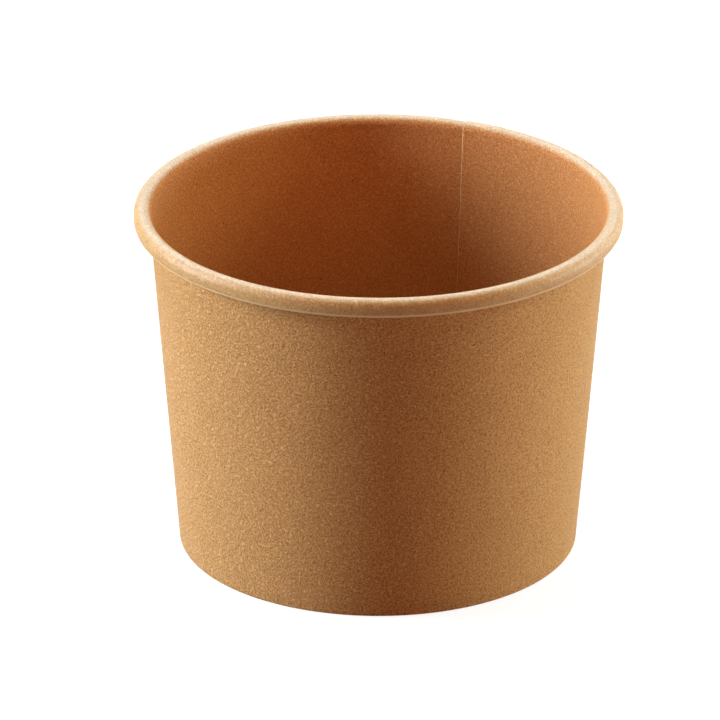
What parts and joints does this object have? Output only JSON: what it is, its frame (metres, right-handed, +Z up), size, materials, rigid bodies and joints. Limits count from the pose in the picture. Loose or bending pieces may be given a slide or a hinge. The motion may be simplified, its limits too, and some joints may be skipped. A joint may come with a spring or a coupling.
{
  "type": "paper ice cream tub",
  "caption": "Round tapered paperboard tub for ice cream, with a rolled rim, a lapped side seam and a base disc recessed above a hemmed foot.",
  "frame": {"origin": "centre of the foot, on the table the tub stands on", "axes": "+Z up along the tub's axis, +Y through the inside edge of the side seam"},
  "size_m": [0.096, 0.096, 0.0707],
  "materials": {
    "wall_board": "matte kraft outside, thin moisture barrier inside",
    "base_board": "matte kraft with a thin moisture barrier on its top"
  },
  "bodies": {
    "root": {"side_wall": "wall_board", "base_disc": "base_board"}
  },
  "joints": []
}
